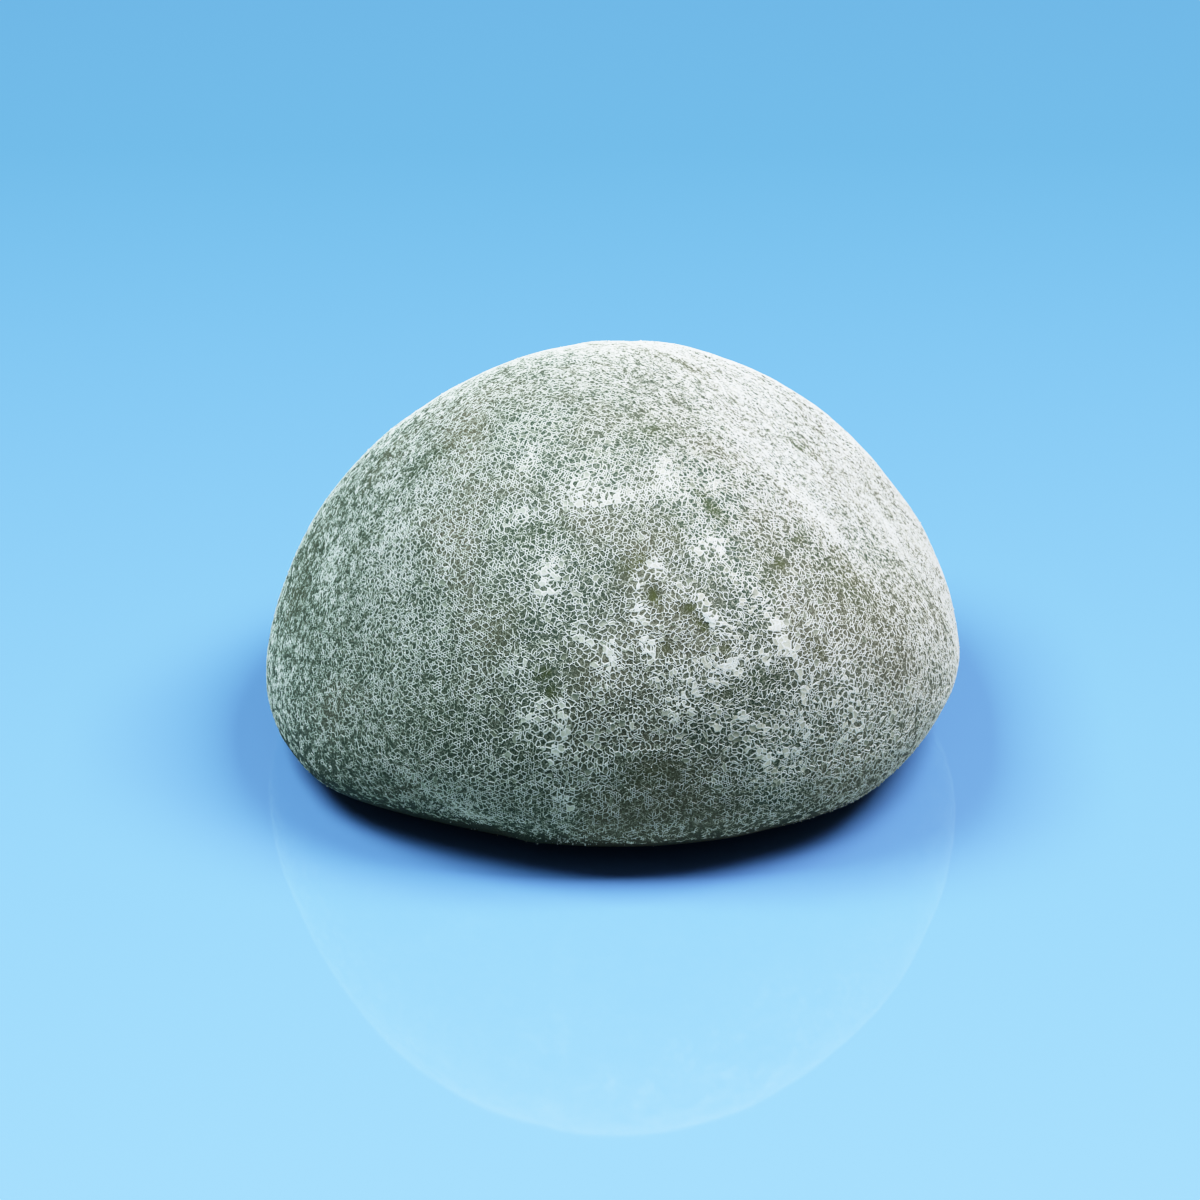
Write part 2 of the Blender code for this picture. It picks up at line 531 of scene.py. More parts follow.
@dataclass
class StarchMap:
    """How thickly the starch lies on every part of the cake, from 0, bare, to 1, solid white."""

    skin: Skin
    ragged: float = 0.35 * MM       # how far a dab's edge strays
    rag: Grain = Grain(1.1 * MM, 11.0)
    fine_rag: Grain = Grain(0.45 * MM, 23.0)
    side_cover: float = 0.52        # cover half way up the plain side
    crown_gain: float = -0.05       # change on the crown, where fingers held the cake
    shoulder_gain: float = 0.03     # more cover all down the pressed shoulder's side
    rubbed_side_loss: float = 0.10  # less cover on the opposite side
    broad_change: float = 0.09      # how far the cover drifts over a few millimetres
    broad: Grain = Grain(4.5 * MM, 3.0, 3)
    fine_change: float = 0.08       # and over one millimetre
    fine: Grain = Grain(1.3 * MM, 7.0)
    edge_wander: float = 0.025      # how far the bare under-curl's edge wanders, as a share of the height
    edge: Grain = Grain(1.6 * MM, 13.0)
    plain_body: float = 0.955       # how opaque the starch is on the -X side
    dry_body: float = 0.09          # how much more on the dry shoulder's side
    low_body: float = 0.12          # and more again low on that side
    # Painted shade: the starch on the crown and at the far +X edge is made less opaque, to darken where the
    # lamps fall hardest.
    crown_painted_shade: float = 0.16    # how much less opaque at the very top
    far_edge_painted_shade: float = 0.12     # and at the far +X edge
    # Where each of these changes begins and is complete: up the cake, as shares of its height,
    full_side: tuple[float, float] = (-0.20, 0.30)
    onto_crown: tuple[float, float] = (0.70, 1.0)
    up_shoulder: tuple[float, float] = (0.08, 0.25)
    out_of_under_curl: tuple[float, float] = (0.06, 0.15)
    out_of_low_sides: tuple[float, float] = (0.12, 0.45)
    onto_top: tuple[float, float] = (0.75, 1.0)
    # and towards the shoulder or away from it, as shares of the reach.
    to_shoulder: tuple[float, float] = (0.1, 0.85)
    to_rubbed_side: tuple[float, float] = (0.2, 0.8)
    to_dry_side: tuple[float, float] = (-0.9, 0.5)
    to_far_edge: tuple[float, float] = (0.5, 0.9)

    def __post_init__(self) -> None:
        """Lay the dabs on the skin."""
        self.caked = Layer(self.skin, CAKED)
        self.rubbed_off = Layer(self.skin, RUBBED)

    def stray(self, points: np.ndarray) -> np.ndarray:
        """Shift points about, so that what is laid there gets a ragged edge."""
        return points + self.ragged * (self.rag.drift(points) + 0.6 * self.fine_rag.drift(points))

    def rubbed(self, points: np.ndarray) -> np.ndarray:
        """Tell how much starch the rubbing took off at each point."""
        return -self.rubbed_off.sum_at(self.stray(points))

    def cover(self, points: np.ndarray) -> np.ndarray:
        """Work out the starch at each point.

        Args:
            points: Points on the cake, one a row.

        Returns:
            One share of full cover a point.
        """
        height = height_share(points)
        toward_shoulder = smooth_step(points[:, 0] / REACH, *self.to_shoulder)
        cover = self.side_cover * smooth_step(height, *self.full_side)
        cover += self.crown_gain * smooth_step(height, *self.onto_crown)
        cover += self.shoulder_gain * toward_shoulder * smooth_step(height, *self.up_shoulder)
        cover -= self.rubbed_side_loss * smooth_step(-points[:, 0] / REACH, *self.to_rubbed_side)
        cover += self.broad_change * self.broad.swell(points)
        cover += self.fine_change * self.fine.swell(points)
        strayed = self.stray(points)
        cover += self.caked.sum_at(strayed) + self.rubbed_off.sum_at(strayed)
        # The under-curl touched nothing dusty, so it is bare.
        cover *= smooth_step(height + self.edge_wander * self.edge.swell(points), *self.out_of_under_curl)
        return np.clip(cover, 0.0, 1.2)

    def low_down(self, points: np.ndarray) -> np.ndarray:
        """Tell the lower sides, where the film is torn into separate strokes, from the rest."""
        return 1.0 - smooth_step(height_share(points), *self.out_of_low_sides)

    def body(self, points: np.ndarray) -> np.ndarray:
        """Tell how opaque the starch is: thin and damp low on the -X side, chalky towards the shoulder, and
        less opaque on the crown and at the far +X edge, which is painted shade where the lamps fall hardest.

        Args:
            points: Points on the cake, one a row.

        Returns:
            One factor for the starch's thickness a point.
        """
        toward_shoulder = smooth_step(points[:, 0] / REACH, *self.to_dry_side)
        low_and_dry = self.low_body * self.low_down(points) * smooth_step(toward_shoulder, 0.2, 0.6)
        body = self.plain_body + self.dry_body * toward_shoulder + low_and_dry
        # Painted shade: less opaque starch on the crown and at the far +X edge.
        body -= self.crown_painted_shade * smooth_step(height_share(points), *self.onto_top)
        return body - self.far_edge_painted_shade * smooth_step(points[:, 0] / REACH, *self.to_far_edge)


@dataclass(frozen=True)
class RiceDough:
    """Pounded sweet rice dough with green tea in it, dulled by the thinnest film of starch."""

    green: str = "3D4B42"
    tan: str = "58574C"
    olive: str = "545A34"
    film: str = "A8AA9E"
    hue_patch: float = 7.0 * MM    # how far the green and the tan patches are apart
    warmth: float = 5.0            # how fast tan takes over towards the shoulder, for each metre
    all_green: float = 0.40        # patches below this are green
    all_tan: float = 0.62          # and above this tan
    speck: float = 0.11 * MM       # grains of the film
    caught: float = 0.2            # how much more film there is under full cover
    film_begins: float = 0.53
    film_full: float = 0.83
    film_most: float = 0.6         # the film never hides the dough altogether
    grain_relief: float = 0.03 * MM
    grain_strength: float = 0.35
    roughness: float = 0.80
    ior: float = 1.45
    gloss: float = 0.25

    def material(self) -> bpy.types.Material:
        """Build the material.

        Returns:
            A matt, soft-looking dough with green and tan patches, olive where it is rubbed clean.
        """
        material, tree, shader = start_material("green_tea_rice_dough")
        place = add_node(tree, "ShaderNodeTexCoord").outputs["Object"]
        cover = add_node(tree, "ShaderNodeAttribute", attribute_name="cover").outputs["Fac"]
        clean = add_node(tree, "ShaderNodeAttribute", attribute_name="rubbed").outputs["Fac"]
        # Damp dough is greener and dried dough browner, in soft patches as wide as a fingertip.
        patches = add_node(
            tree, "ShaderNodeTexNoise", {"Vector": place, "Scale": 1 / self.hue_patch, "Detail": 4.0}
        )
        east = add_node(tree, "ShaderNodeSeparateXYZ", {0: place}).outputs["X"]
        warm = add_node(
            tree,
            "ShaderNodeMath",
            {0: east, 1: self.warmth, 2: patches.outputs["Fac"]},
            operation="MULTIPLY_ADD",
        )
        parted = add_node(
            tree,
            "ShaderNodeMapRange",
            {"Value": warm.outputs[0], "From Min": self.all_green, "From Max": self.all_tan},
        )
        ground = add_node(
            tree,
            "ShaderNodeMix",
            {MIX_SHARE: parted.outputs[0], MIX_FROM: to_linear(self.green), MIX_TO: to_linear(self.tan)},
            data_type="RGBA",
        )
        hue = add_node(
            tree,
            "ShaderNodeMix",
            {MIX_SHARE: clean, MIX_FROM: ground.outputs[MIX_RESULT], MIX_TO: to_linear(self.olive)},
            data_type="RGBA",
        )
        # Real grains of starch are a few hundredths of a millimetre, too fine to show: this haze of them is
        # drawn a few times coarser. It mottles the dough between the ridges.
        specks = add_node(
            tree, "ShaderNodeTexNoise", {"Vector": place, "Scale": 1 / self.speck, "Detail": 3.0}
        )
        catch = add_node(tree, "ShaderNodeMath", {0: cover, 1: self.caught}, operation="MULTIPLY")
        haze = add_node(
            tree, "ShaderNodeMath", {0: specks.outputs["Fac"], 1: catch.outputs[0]}, operation="ADD"
        )
        filmed = add_node(
            tree,
            "ShaderNodeMapRange",
            {
                "Value": haze.outputs[0],
                "From Min": self.film_begins,
                "From Max": self.film_full,
                "To Max": self.film_most,
            },
            interpolation_type="SMOOTHSTEP",
        )
        colour = add_node(
            tree,
            "ShaderNodeMix",
            {MIX_SHARE: filmed.outputs[0], MIX_FROM: hue.outputs[MIX_RESULT], MIX_TO: to_linear(self.film)},
            data_type="RGBA",
        )
        bump = add_node(
            tree,
            "ShaderNodeBump",
            {
                "Height": specks.outputs["Fac"],
                "Strength": self.grain_strength,
                "Distance": self.grain_relief,
            },
        )
        tree.links.new(colour.outputs[MIX_RESULT], shader.inputs["Base Color"])
        tree.links.new(bump.outputs[0], shader.inputs["Normal"])
        shader.inputs["Roughness"].default_value = self.roughness
        shader.inputs["IOR"].default_value = self.ior
        shader.inputs["Specular IOR Level"].default_value = self.gloss
        return material


@dataclass(frozen=True)
class DriedStarch:
    """Potato starch that was wetted by the dough and dried to a chalky crust."""

    thick: str = "E6EAF0"
    # Thin starch colours carry painted light: greenish as under cyan light on the -X side, warm grey as under
    # neutral light on the +X side.
    thin_under_painted_cyan_light: str = "B4C8BF"
    thin_under_painted_warm_light: str = "CAC9BF"
    foot: str = "5E6657"
    clot: float = 0.16 * MM     # grain of the clots, a few real grains across
    clot_thin: float = 0.82     # how the clots thin and thicken the crust
    clot_thick: float = 1.16
    # The painted light tint is at its warmest this far towards +X, as a share of the reach.
    warmest_painted_light_from: float = 0.3       # dry this far towards the shoulder, as a share of the reach
    see_through: float = 0.60   # thinner than this, the dough's colour comes through
    opaque: float = 1.05        # at this thickness it is at its whitest
    roughness: float = 0.95
    ior: float = 1.5

    def material(self) -> bpy.types.Material:
        """Build the material.

        Returns:
            A dead matt chalk, white on the crests and thinning to dough colour at the ridges' feet.
        """
        material, tree, shader = start_material("dried_potato_starch")
        laid = add_node(tree, "ShaderNodeAttribute", attribute_name="thickness").outputs["Fac"]
        place = add_node(tree, "ShaderNodeTexCoord").outputs["Object"]
        # Starch dries in clots: they keep a caked patch from looking painted on.
        clots = add_node(
            tree, "ShaderNodeTexNoise", {"Vector": place, "Scale": 1 / self.clot, "Detail": 2.0}
        )
        heap = add_node(
            tree,
            "ShaderNodeMapRange",
            {
                "Value": clots.outputs["Fac"],
                "From Min": 0.3,
                "From Max": 0.7,
                "To Min": self.clot_thin,
                "To Max": self.clot_thick,
            },
        )
        crust = add_node(tree, "ShaderNodeMath", {0: laid, 1: heap.outputs[0]}, operation="MULTIPLY")
        thick = crust.outputs[0]
        # Thin starch lets the dough through, with painted light over it: a cyan-green tint towards -X and a
        # warm grey tint towards +X stand in for cyan light from the -X side and neutral warm light from the
        # +X side.
        east = add_node(tree, "ShaderNodeSeparateXYZ", {0: place}).outputs["X"]
        painted_light_tint = add_node(
            tree,
            "ShaderNodeMapRange",
            {"Value": east, "From Min": -REACH, "From Max": self.warmest_painted_light_from * REACH},
        )
        thin = add_node(
            tree,
            "ShaderNodeMix",
            {
                MIX_SHARE: painted_light_tint.outputs[0],
                MIX_FROM: to_linear(self.thin_under_painted_cyan_light),
                MIX_TO: to_linear(self.thin_under_painted_warm_light),
            },
            data_type="RGBA",
        )
        gaining = add_node(
            tree, "ShaderNodeMapRange", {"Value": thick, "From Min": 0.0, "From Max": self.see_through}
        )
        damp = add_node(
            tree,
            "ShaderNodeMix",
            {
                MIX_SHARE: gaining.outputs[0],
                MIX_FROM: to_linear(self.foot),
                MIX_TO: thin.outputs[MIX_RESULT],
            },
            data_type="RGBA",
        )
        whitening = add_node(
            tree,
            "ShaderNodeMapRange",
            {"Value": thick, "From Min": self.see_through, "From Max": self.opaque},
        )
        colour = add_node(
            tree,
            "ShaderNodeMix",
            {
                MIX_SHARE: whitening.outputs[0],
                MIX_FROM: damp.outputs[MIX_RESULT],
                MIX_TO: to_linear(self.thick),
            },
            data_type="RGBA",
        )
        tree.links.new(colour.outputs[MIX_RESULT], shader.inputs["Base Color"])
        shader.inputs["Roughness"].default_value = self.roughness
        shader.inputs["IOR"].default_value = self.ior
        return material


@dataclass(frozen=True)
class GradedCard:
    """Glazed pale blue background card with painted light falloff: darker towards the back."""

    near: str = "89B4FF"
    far: str = "6194C6"
    bounce: str = "A4B5B2"
    # spread is the depth over which the painted light falloff changes the card's colour.
    spread: float = 0.22     # depth of the print's change of colour
    roughness: float = 0.04
    ior: float = 1.6         # of the glaze

    def material(self) -> bpy.types.Material:
        """Build the material.

        Returns:
            A smooth blue gradient of painted light falloff under a soft glaze, which throws nearly neutral
            light on the cake.
        """
        material, tree, shader = start_material("graded_background_card")
        place = add_node(tree, "ShaderNodeTexCoord").outputs["Object"]
        depth = add_node(tree, "ShaderNodeSeparateXYZ", {0: place}).outputs["Y"]
        # Painted light falloff: the card's colour darkens towards the back.
        share = add_node(
            tree,
            "ShaderNodeMapRange",
            {"Value": depth, "From Min": -self.spread / 2, "From Max": self.spread / 2},
        )
        painted_falloff_colour = add_node(
            tree,
            "ShaderNodeMix",
            {MIX_SHARE: share.outputs[0], MIX_FROM: to_linear(self.near), MIX_TO: to_linear(self.far)},
            data_type="RGBA",
        )
        bounced = add_node(tree, "ShaderNodeLightPath").outputs["Is Diffuse Ray"]
        colour = add_node(
            tree,
            "ShaderNodeMix",
            {
                MIX_SHARE: bounced,
                MIX_FROM: painted_falloff_colour.outputs[MIX_RESULT],
                MIX_TO: to_linear(self.bounce),
            },
            data_type="RGBA",
        )
        tree.links.new(colour.outputs[MIX_RESULT], shader.inputs["Base Color"])
        shader.inputs["Roughness"].default_value = self.roughness
        shader.inputs["IOR"].default_value = self.ior
        return material


@dataclass
class DoughBody:
    """The cake's dough: a fine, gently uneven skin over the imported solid."""

    cuts: int = 119                # cuts across each side of the cube that becomes the skin
    coat_room: float = 0.14 * MM   # what the starch needs inside the cake's box
    foot_edge: float = 0.2 * MM    # the foot stays flat up to here
    foot_clear: float = 2.5 * MM   # and the dough is fully uneven from here up
    # How far each unevenness lifts the skin.
    swells: tuple[tuple[Grain, float], ...] = (
        (Grain(11.0 * MM, 1.44), 0.16 * MM),
        (Grain(4.5 * MM, 1.18), 0.07 * MM),
        (Grain(1.8 * MM, 1.072), 0.025 * MM),
    )

    def packed_skin(self) -> Skin:
        """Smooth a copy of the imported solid.

        Returns:
            The smoothed copy, read as a skin.
        """
        work = bmesh.new()
        work.from_mesh(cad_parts[CAKE_NODE].data)
        bmesh.ops.remove_doubles(work, verts=work.verts, dist=0.001 * MM)
        copy = bpy.data.objects.new("packed_copy", finish_mesh(work, "packed_copy"))
        bpy.context.scene.collection.objects.link(copy)
        copy.modifiers.new("smooth", "SUBSURF").levels = 2
        smooth = bpy.data.meshes.new_from_object(copy.evaluated_get(bpy.context.evaluated_depsgraph_get()))
        skin = Skin(smooth)
        bpy.data.objects.remove(copy)
        return skin

    def round_cube(self) -> bpy.types.Mesh:
        """Subdivide a cube into an even grid, ready to be pushed out to the skin.

        Returns:
            The cube's mesh.
        """
        work = bmesh.new()
        bmesh.ops.create_cube(work, size=2.0)
        bmesh.ops.subdivide_edges(work, edges=work.edges, cuts=self.cuts, use_grid_fill=True)
        return finish_mesh(work, "dough")

    def map_sides(self, mesh: bpy.types.Mesh) -> None:
        """Give each side of the cube its own field of the texture, three across and two up.

        Args:
            mesh: The subdivided cube.
        """
        spots = places_of(mesh)[corners_of(mesh)].reshape(-1, 4, 3)
        middles = spots.mean(axis=1)
        axis = np.abs(middles).argmax(axis=1)
        is_far = middles[np.arange(len(axis)), axis] > 0
        first = np.take_along_axis(spots, ((axis + 1) % 3)[:, None, None], axis=2)[:, :, 0]
        second = np.take_along_axis(spots, ((axis + 2) % 3)[:, None, None], axis=2)[:, :, 0]
        across = (axis[:, None] + 0.5 + MAP_HALF * first) / 3
        up = (is_far[:, None] + 0.5 + MAP_HALF * second) / 2
        set_bake_map(mesh, np.stack((across, up), axis=2))

    def fit_box(self, points: np.ndarray) -> np.ndarray:
        """Scale the skin into the cake's box, less the room for the coat, and keep its foot on the ground.

        Args:
            points: Points on the skin, one a row.

        Returns:
            The same points, scaled.
        """
        low, high = points.min(axis=0), points.max(axis=0)
        target_low = np.array(CAD_LOW) + np.array((self.coat_room, self.coat_room, 0.0))
        target_high = np.array(CAD_HIGH) - self.coat_room
        return target_low + (points - low) * (target_high - target_low) / (high - low)

    def build(self) -> bpy.types.Mesh:
        """Shape the skin.

        Returns:
            The finished mesh, without its starch.
        """
        mesh = self.round_cube()
        self.map_sides(mesh)
        grid = np.tan(places_of(mesh) * math.pi / 4)
        directions = grid / np.linalg.norm(grid, axis=1)[:, None]
        skin = self.packed_skin()
        points, normals = skin.land(directions)
        clear_of_foot = smooth_step(points[:, 2] - CAD_LOW.z, self.foot_edge, self.foot_clear)
        lift = sum(height * grain.swell(points) for grain, height in self.swells)
        lift += Layer(skin, HANDLED).sum_at(points) * MM
        points = points + normals * (lift * clear_of_foot)[:, None]
        set_places(mesh, self.fit_box(points))
        return mesh


@dataclass(frozen=True)
class Floor:
    """The floor of a cell of the net. Its thickness follows the cover round it, within limits."""

    level: float   # millimetres above the dough
    gain: float    # thickness for each share of cover
    change: float  # added to that
    least: float
    most: float


class Filling(Enum):
    """What stands inside a cell of the net, with its floor."""

    BARE = Floor(-0.014, 0.0, 0.0, 0.30, 0.30)
    HAZED = Floor(0.006, 0.75, -0.30, 0.04, 0.70)
    CAKED = Floor(0.030, 0.95, -0.20, 0.32, 0.92)


@dataclass
class StarchCrust:
    """The net of dried starch: thin ridges round small cells of dough, made in bands from the foot up."""

    fineness: int = 5               # subdivisions of the ball that the net is cut from
    splits: int = 5                 # cuts across each side of the ball's triangles
    bevel_percent: float = 33.3     # cuts each corner back to a third, which leaves six-sided cells
    low_cut: float = -0.12          # the net stops at this share of the reach below the heart
    bands: int = 10
    joined: float = 1.9             # small cells that run together into one, on average
    joined_more: float = 0.9        # and how many more in the middle of the front
    grouped: float = 1.5            # of those, how many share one stronger outline
    grouped_more: float = 1.4       # and how many more in the middle of the front
    grouped_change: float = 0.7     # and how far that number drifts
    group_drift: Grain = Grain(3.0 * MM, 51.0)
    jitter: float = 0.045 * MM      # how far each crossing strays by itself
    drift: float = 0.16 * MM        # how far neighbours stray together
    broad: Grain = Grain(1.5 * MM, 31.0)
    fine: Grain = Grain(0.6 * MM, 37.0)
    crest: float = 0.036 * MM       # height of a ridge of full thickness
    outline_gain: float = 0.14      # more starch on the outline of a group of cells
    inner_loss: float = 0.25        # less on the walls inside it
    strokes: Grain = Grain(0.5 * MM, 61.0)  # the strokes that the film is torn into
    torn: float = 0.42              # how much the strokes change the starch
    torn_low: float = 0.28          # and how much more low on the sides
    stroke_scatter: float = 0.14    # and what each crossing differs by itself
    ridge_begins: float = 0.19      # starch below this leaves no ridge
    ridge_span: float = 0.42        # and this much more makes a full one
    caked_begins: float = 0.66      # cover at which cells start to fill up
    caked_span: float = 0.58
    caked_most: float = 0.70        # the largest share of cells that fill up
    hazed_begins: float = 0.48
    hazed_rate: float = 0.70        # share of cells that get a haze, for each share of cover past that
    cell_scatter: float = 0.10      # how far cells of one cover differ
    # Where the coarse middle of the front begins and ends, as shares of the reach and of the height.
    to_front: tuple[float, float] = (0.3, 0.7)
    from_left: tuple[float, float] = (-0.45, -0.1)
    to_right: tuple[float, float] = (0.35, 0.6)
    right_loss: float = 0.6
    from_low: tuple[float, float] = (0.22, 0.38)
    to_crown: tuple[float, float] = (0.66, 0.80)
    # Cover from which a ridge is this wide, as a share of its cell.
    widths: tuple[tuple[float, float], ...] = (
        (0.0, 0.30),
        (0.42, 0.36),
        (0.54, 0.42),
        (0.64, 0.50),
        (0.76, 0.60),
        (0.88, 0.70),
    )

    def net_of_cells(self) -> bmesh.types.BMesh:
        """Cut a ball's upper part into small six-sided cells.

        Returns:
            The net, on a ball of radius 1.
        """
        net = bmesh.new()
        bmesh.ops.create_icosphere(net, subdivisions=self.fineness, radius=1.0)
        bmesh.ops.subdivide_edges(net, edges=net.edges, cuts=self.splits, use_grid_fill=True)
        for vertex in net.verts:
            vertex.co.normalize()
        bmesh.ops.delete(net, geom=[v for v in net.verts if v.co.z < self.low_cut], context="VERTS")
        bmesh.ops.bevel(
            net,
            geom=list(net.verts),
            offset=self.bevel_percent,
            offset_type="PERCENT",
            affect="VERTICES",
            segments=1,
            profile=0.5,
            material=-1,
        )
        return net

    def disturb(self, net: bmesh.types.BMesh, random: np.random.Generator) -> None:
        """Make the cells as uneven as cracks in drying starch.

        Args:
            net: The net on the unit ball, which is changed.
            random: Where the unevenness is drawn from.
        """
        points = np.array([vertex.co for vertex in net.verts]) * REACH
        points += self.drift * (self.broad.drift(points) + 0.5 * self.fine.drift(points))
        points += random.normal(0.0, self.jitter, points.shape)
        points /= np.linalg.norm(points, axis=1)[:, None]
        for vertex, point in zip(net.verts, points.tolist()):
            vertex.co = point

    def coarseness(self, points: np.ndarray) -> np.ndarray:
        """Tell the middle of the front, where the film tore into larger cells, from the rest.

        Args:
            points: Points on the cake, one a row.

        Returns:
            For each point, 1 in the middle of the front, easing to 0 away from it.
        """
        height = height_share(points)
        sideways = points[:, 0] / REACH
        front = smooth_step(-points[:, 1] / REACH, *self.to_front) * smooth_step(sideways, *self.from_left)
        front *= 1.0 - self.right_loss * smooth_step(sideways, *self.to_right)
        return front * smooth_step(height, *self.from_low) * (1.0 - smooth_step(height, *self.to_crown))

    def grow_groups(
        self, net: bmesh.types.BMesh, together: np.ndarray, random: np.random.Generator
    ) -> list[int]:
        """Let groups of cells grow from scattered ones until all are taken.

        Args:
            net: The net.
            together: How many cells make one group, on average, for each face.
            random: Where the scatter is drawn from.

        Returns:
            The number of the group that each face is in.
        """
        net.faces.index_update()
        starts = random.random(len(together)) * together < 1.0
        owner = np.where(starts, np.arange(len(together)), -1).tolist()
        order = random.permutation([cell for cell, own in enumerate(owner) if own >= 0]).tolist()
        faces = list(net.faces)
        for cell in order:
            for edge in faces[cell].edges:
                for face in edge.link_faces:
                    if owner[face.index] < 0:
                        owner[face.index] = owner[cell]
                        order.append(face.index)
        return owner

    def run_together(self, net: bmesh.types.BMesh, random: np.random.Generator) -> None:
        """Join small cells into uneven ones, as the film tears between some of its cracks and not others.

        Args:
            net: The net on the unit ball, which is changed.
            random: Where the scatter is drawn from.
        """
        centres = np.array([face.calc_center_median() for face in net.faces]) * REACH + np.array(HEART)
        joined = self.joined + self.joined_more * self.coarseness(centres)
        owner = self.grow_groups(net, joined, random)
        inner = []
        for edge in net.edges:
            sides = [owner[face.index] for face in edge.link_faces]
            if len(sides) == 2 and sides[0] == sides[1]:
                inner.append(edge)
        bmesh.ops.dissolve_edges(net, edges=inner, use_verts=False, use_face_split=False)
        # Two rounds of smoothing let the corners that were left behind slip into line.
        for _ in range(2):
            bmesh.ops.smooth_vert(
                net, verts=net.verts, factor=0.5, use_axis_x=True, use_axis_y=True, use_axis_z=True
            )

    def outline_groups(self, net: bmesh.types.BMesh, skin: Skin, random: np.random.Generator) -> None:
        """Mark the crossings that lie between two groups of cells.

        Args:
            net: The net on the unit ball, which gets the marks.
            skin: The dough's surface.
            random: Where the scatter is drawn from.
        """
        centres = skin.land(np.array([face.calc_center_median().normalized() for face in net.faces]))[0]
        together = self.grouped + self.grouped_more * self.coarseness(centres)
        together += self.grouped_change * self.group_drift.swell(centres)
        owner = self.grow_groups(net, np.clip(together, 1.1, 5.0), random)
        outline = net.verts.layers.float.new("outline")
        for vertex in net.verts:
            vertex[outline] = float(len({owner[face.index] for face in vertex.link_faces}) > 1)

    def lay_on(
        self, net: bmesh.types.BMesh, skin: Skin, starch: StarchMap, random: np.random.Generator
    ) -> bpy.types.Mesh:
        """Lay the net on the skin and draw how strong each ridge is.

        Args:
            net: The net on the unit ball, which is used up.
            skin: The dough's surface.
            starch: Where the starch lies.
            random: Where the unevenness is drawn from.

        Returns:
            The flat net as a mesh, with a cover and a thickness for each crossing.
        """
        net.normal_update()
        mesh = finish_mesh(net, "flat_net")
        ways = places_of(mesh)
        points = skin.land(ways / np.linalg.norm(ways, axis=1)[:, None])[0]
        set_places(mesh, points)
        outline = take_amounts(mesh, "outline")
        cover = starch.cover(points)
        drawn = cover + self.outline_gain * outline - self.inner_loss * (1.0 - outline)
        tearing = self.torn + self.torn_low * starch.low_down(points)
        drawn += tearing * self.strokes.swell(points)
        drawn += random.normal(0.0, self.stroke_scatter, len(points))
        ridges = np.clip((drawn - self.ridge_begins) / self.ridge_span, -0.25, 1.2)
        set_amounts(mesh, "cover", cover)
        set_amounts(mesh, "thickness", ridges * starch.body(points))
        return mesh

    def band_of(self, flat_net: bpy.types.Mesh, band: int) -> bmesh.types.BMesh:
        """Copy the cells that lie in one band.

        Args:
            flat_net: The whole net on the skin.
            band: The band's number, counted from the foot.

        Returns:
            That part of the net.
        """
        net = bmesh.new()
        net.from_mesh(flat_net)
        step = (1.0 - self.low_cut) / self.bands
        outside = []
        for cell in net.faces:
            level = (cell.calc_center_median() - HEART).normalized().z
            if min(max(int((level - self.low_cut) / step), 0), self.bands - 1) != band:
                outside.append(cell)
        bmesh.ops.delete(net, geom=outside, context="FACES")
        return net

    def sort_cells(self, net: bmesh.types.BMesh, random: np.random.Generator) -> tuple[dict, dict]:
        """Choose each cell's ridge width and filling from the cover round it.

        Args:
            net: One band of the net.
            random: Where the unevenness is drawn from.

        Returns:
            The cells of each ridge width, and of each filling.
        """
        cover_layer = net.verts.layers.float["cover"]
        by_width: dict[float, list] = {width: [] for _, width in self.widths}
        by_filling: dict[Filling, list] = {filling: [] for filling in Filling}
        strays = random.normal(0, self.cell_scatter, len(net.faces))
        draws = random.random(len(net.faces))
        for cell, stray, draw in zip(net.faces, strays, draws):
            here = sum(vertex[cover_layer] for vertex in cell.verts) / len(cell.verts)
            width = [share for start, share in self.widths if start <= max(here + stray, 0.0)][-1]
            by_width[width].append(cell)
            if draw < min((here - self.caked_begins) / self.caked_span, self.caked_most):
                by_filling[Filling.CAKED].append(cell)
            elif draw < self.hazed_rate * (here - self.hazed_begins):
                by_filling[Filling.HAZED].append(cell)
            else:
                by_filling[Filling.BARE].append(cell)
        return by_width, by_filling

    def raise_ridges(
        self, net: bmesh.types.BMesh, skin: Skin, random: np.random.Generator
    ) -> bpy.types.Mesh:
        """Inset every cell by half a ridge, settle its floor, and lift the crests off the skin.

        Args:
            net: One band of the flat net, which is used up.
            skin: The dough's surface.
            random: Where the unevenness is drawn from.

        Returns:
            The band's finished mesh, with a thickness for each vertex.
        """
        by_width, by_filling = self.sort_cells(net, random)
        crests = set(net.verts)
        thickness = net.verts.layers.float["thickness"]
        cover = net.verts.layers.float["cover"]
        level = net.verts.layers.float.new("level")
        for vertex in net.verts:
            vertex[level] = self.crest * vertex[thickness]
        for width, cells in by_width.items():
            bmesh.ops.inset_individual(
                net,
                faces=cells,
                thickness=width,
                depth=0.0,
                use_even_offset=False,
                use_relative_offset=True,
            )
        for filling, cells in by_filling.items():
            for cell in cells:
                here = sum(vertex[cover] for vertex in cell.verts) / len(cell.verts)
                amount = self.floor_amount(filling, here, random)
                for vertex in cell.verts:
                    if vertex not in crests:
                        vertex[thickness] = amount
                        vertex[level] = filling.value.level * MM
        bmesh.ops.delete(net, geom=by_filling[Filling.BARE], context="FACES_ONLY")
        mesh = finish_mesh(net, "starch_net")
        self.lift(mesh, skin)
        return mesh

